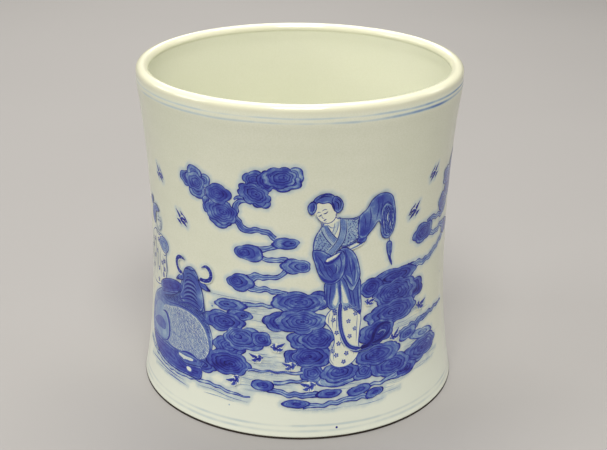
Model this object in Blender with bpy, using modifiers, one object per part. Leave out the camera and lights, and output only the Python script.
"""Brush pot: a waisted porcelain pot that holds writing brushes upright.

The potter's own pieces are modelled as separate solids: the thrown wall, the
rolled lip on its top edge, the floor slab let into its lower end, the coil of
clay luted into the inside corner, and the bare foot ring that the pot stands on.
The origin is the centre of the standing face. +Z is the axis of the pot.
"""

import math

import bpy

# Driving dimensions, in metres.
HEIGHT = 0.1554
RIM_RADIUS = 0.0750
WAIST_RADIUS = 0.0702
BASE_RADIUS = 0.0760
WAIST_LEVEL = 0.48 * HEIGHT
SEAM_LEVEL = 0.95 * HEIGHT
LIP_THICKNESS = 0.0058
WALL_THICKNESS_TOP = 0.0050
WALL_THICKNESS_BASE = 0.0065
FLOOR_UNDERSIDE = 0.0034
FLOOR_THICKNESS = 0.0056
FOOT_HEIGHT = 0.0008
FOOT_CHAMFER = 0.0003
FOOT_LEDGE_WIDTH = 0.0032
FILLET_SIZE = 0.0075
GAP = 0.0003

# The flare of the wall above and below the waist: a power curve on each side.
LOWER_FLARE_POWER = 2.5
UPPER_FLARE_POWER = 2.1

# How finely the turned shapes are drawn.
SEGMENTS = 64
WALL_STEPS_OUTSIDE = 13
WALL_STEPS_INSIDE = 8
LIP_ARC_STEPS = 8
FILLET_STEPS = 5
MERGE_DISTANCE = 0.00005
SHARP_ANGLE = math.radians(38)

# Linear colours of the fired surfaces.
GLAZE_COLOUR = (0.740, 0.745, 0.610, 1.0)
LIP_COLOUR = (0.860, 0.850, 0.700, 1.0)
INNER_GLAZE_COLOUR = (0.720, 0.730, 0.585, 1.0)
LUTING_COLOUR = (0.690, 0.690, 0.560, 1.0)
BARE_CLAY_COLOUR = (0.090, 0.055, 0.030, 1.0)
GLAZE_ROUGHNESS = 0.18
BARE_CLAY_ROUGHNESS = 0.80

POT_COLLECTION = "brush_pot"


def outer_radius(level):
    """Radius of the outside of the wall at a height: widest at the foot, waisted, flared to the lip."""
    if level < WAIST_LEVEL:
        fraction = (WAIST_LEVEL - level) / WAIST_LEVEL
        return WAIST_RADIUS + (BASE_RADIUS - WAIST_RADIUS) * fraction ** LOWER_FLARE_POWER
    fraction = min(1.0, (level - WAIST_LEVEL) / (SEAM_LEVEL - WAIST_LEVEL))
    return WAIST_RADIUS + (RIM_RADIUS - WAIST_RADIUS) * fraction ** UPPER_FLARE_POWER


def inner_radius(level):
    """Radius of the inside of the wall: the wall thins steadily from the base to the lip."""
    share = min(1.0, level / SEAM_LEVEL)
    thickness = WALL_THICKNESS_BASE + (WALL_THICKNESS_TOP - WALL_THICKNESS_BASE) * share
    return outer_radius(level) - thickness


def levels(start, stop, steps):
    """Evenly spaced heights from start to stop, both included."""
    return [start + (stop - start) * step / steps for step in range(steps + 1)]


def arc(centre_radius, centre_level, radius, start, stop, steps):
    """Points on an arc of the cross-section; angles in radians, 0 points outwards, up is positive."""
    points = []
    for step in range(steps + 1):
        angle = start + (stop - start) * step / steps
        points.append((centre_radius + radius * math.cos(angle), centre_level + radius * math.sin(angle)))
    return points


def wall_profile():
    """The thrown wall, from just above the foot ring to just below the lip."""
    top = SEAM_LEVEL - GAP
    bottom = FOOT_HEIGHT + GAP
    outside = [(outer_radius(level), level) for level in levels(top, bottom, WALL_STEPS_OUTSIDE)]
    inside = [(inner_radius(level), level) for level in levels(bottom, top, WALL_STEPS_INSIDE)]
    return outside + inside


def lip_profile():
    """The rolled lip: upright outside, half-round on top, tucked back to the wall inside."""
    half = LIP_THICKNESS / 2
    bead_radius = RIM_RADIUS - half
    bead_level = HEIGHT - half
    roll_bottom = bead_level - half
    over_the_top = arc(bead_radius, bead_level, half, math.pi, 0.0, LIP_ARC_STEPS)
    outside_foot = (RIM_RADIUS, SEAM_LEVEL)
    inside_foot = (inner_radius(SEAM_LEVEL), SEAM_LEVEL)
    tuck = (RIM_RADIUS - LIP_THICKNESS, roll_bottom)
    return over_the_top + [outside_foot, inside_foot, tuck]


def floor_profile():
    """The floor slab: a disc that fits inside the wall and rests on the ledge of the foot ring."""
    top = FLOOR_UNDERSIDE + FLOOR_THICKNESS
    rim_top = (inner_radius(top) - GAP, top)
    rim_bottom = (inner_radius(FLOOR_UNDERSIDE) - GAP, FLOOR_UNDERSIDE)
    return [(0.0, top), rim_top, rim_bottom, (0.0, FLOOR_UNDERSIDE)]


def foot_profile():
    """The foot ring: a flat standing face under the wall, stepped up inside to carry the floor slab."""
    outside = outer_radius(0.0)
    step_radius = inner_radius(FOOT_HEIGHT) - GAP
    ledge_top = FLOOR_UNDERSIDE - GAP
    ledge_outside = inner_radius(ledge_top) - GAP
    ledge_inside = ledge_outside - FOOT_LEDGE_WIDTH
    return [
        (ledge_inside, ledge_top),
        (ledge_outside, ledge_top),
        (step_radius, FOOT_HEIGHT),
        (outside, FOOT_HEIGHT),
        (outside, FOOT_CHAMFER),
        (outside - FOOT_CHAMFER, 0.0),
        (ledge_inside, 0.0),
    ]


def fillet_profile():
    """The luting coil: clay smoothed into the corner between the floor and the wall, hollow-faced."""
    bottom = FLOOR_UNDERSIDE + FLOOR_THICKNESS + GAP
    top = bottom + FILLET_SIZE
    top_radius = inner_radius(top) - GAP
    face_radius = top_radius - FILLET_SIZE
    hollow = arc(face_radius, top, FILLET_SIZE, -math.pi / 2, 0.0, FILLET_STEPS)
    lifted = [(radius, max(level, bottom + GAP)) for radius, level in hollow]
    return lifted + [(inner_radius(bottom) - GAP, bottom), (face_radius, bottom)]


def fired_material(name, colour, roughness):
    """A plain fired surface."""
    material = bpy.data.materials.new(name)
    material.use_nodes = True
    shader = material.node_tree.nodes["Principled BSDF"]
    shader.inputs["Base Color"].default_value = colour
    shader.inputs["Roughness"].default_value = roughness
    shader.inputs["Metallic"].default_value = 0.0
    material.diffuse_color = colour
    return material


def turned_piece(name, profile, closed, material, collection, origin):
    """Turns a cross-section about the pot's axis into one solid and shades it smooth."""
    count = len(profile)
    edges = [(index, index + 1) for index in range(count - 1)]
    if closed:
        edges.append((count - 1, 0))
    mesh = bpy.data.meshes.new(name)
    mesh.from_pydata([(radius, 0.0, level) for radius, level in profile], edges, [])
    piece = bpy.data.objects.new(name, mesh)
    collection.objects.link(piece)
    piece.parent = origin

    screw = piece.modifiers.new("Turn", "SCREW")
    screw.axis = "Z"
    screw.angle = 2 * math.pi
    screw.steps = SEGMENTS
    screw.render_steps = SEGMENTS
    screw.use_merge_vertices = True
    screw.merge_threshold = MERGE_DISTANCE

    bpy.context.view_layer.objects.active = piece
    bpy.ops.object.modifier_apply(modifier=screw.name)
    piece.data.materials.append(material)
    piece.data.shade_smooth()
    piece.data.set_sharp_from_angle(angle=SHARP_ANGLE)
    return piece


def build_pot():
    """Builds the five solids of the pot in one collection, parented to an empty at the origin."""
    collection = bpy.data.collections.new(POT_COLLECTION)
    bpy.context.scene.collection.children.link(collection)
    origin = bpy.data.objects.new("pot_origin", None)
    collection.objects.link(origin)

    glaze = fired_material("glaze_outside", GLAZE_COLOUR, GLAZE_ROUGHNESS)
    lip_glaze = fired_material("glaze_lip", LIP_COLOUR, GLAZE_ROUGHNESS)
    inner_glaze = fired_material("glaze_floor", INNER_GLAZE_COLOUR, GLAZE_ROUGHNESS)
    luting_clay = fired_material("glaze_luting", LUTING_COLOUR, GLAZE_ROUGHNESS)
    bare_clay = fired_material("bare_clay", BARE_CLAY_COLOUR, BARE_CLAY_ROUGHNESS)

    turned_piece("thrown_wall", wall_profile(), True, glaze, collection, origin)
    turned_piece("rolled_lip", lip_profile(), True, lip_glaze, collection, origin)
    turned_piece("floor_slab", floor_profile(), False, inner_glaze, collection, origin)
    turned_piece("luting_coil", fillet_profile(), True, luting_clay, collection, origin)
    turned_piece("foot_ring", foot_profile(), True, bare_clay, collection, origin)


for old_object in list(bpy.data.objects):
    bpy.data.objects.remove(old_object, do_unlink=True)

build_pot()
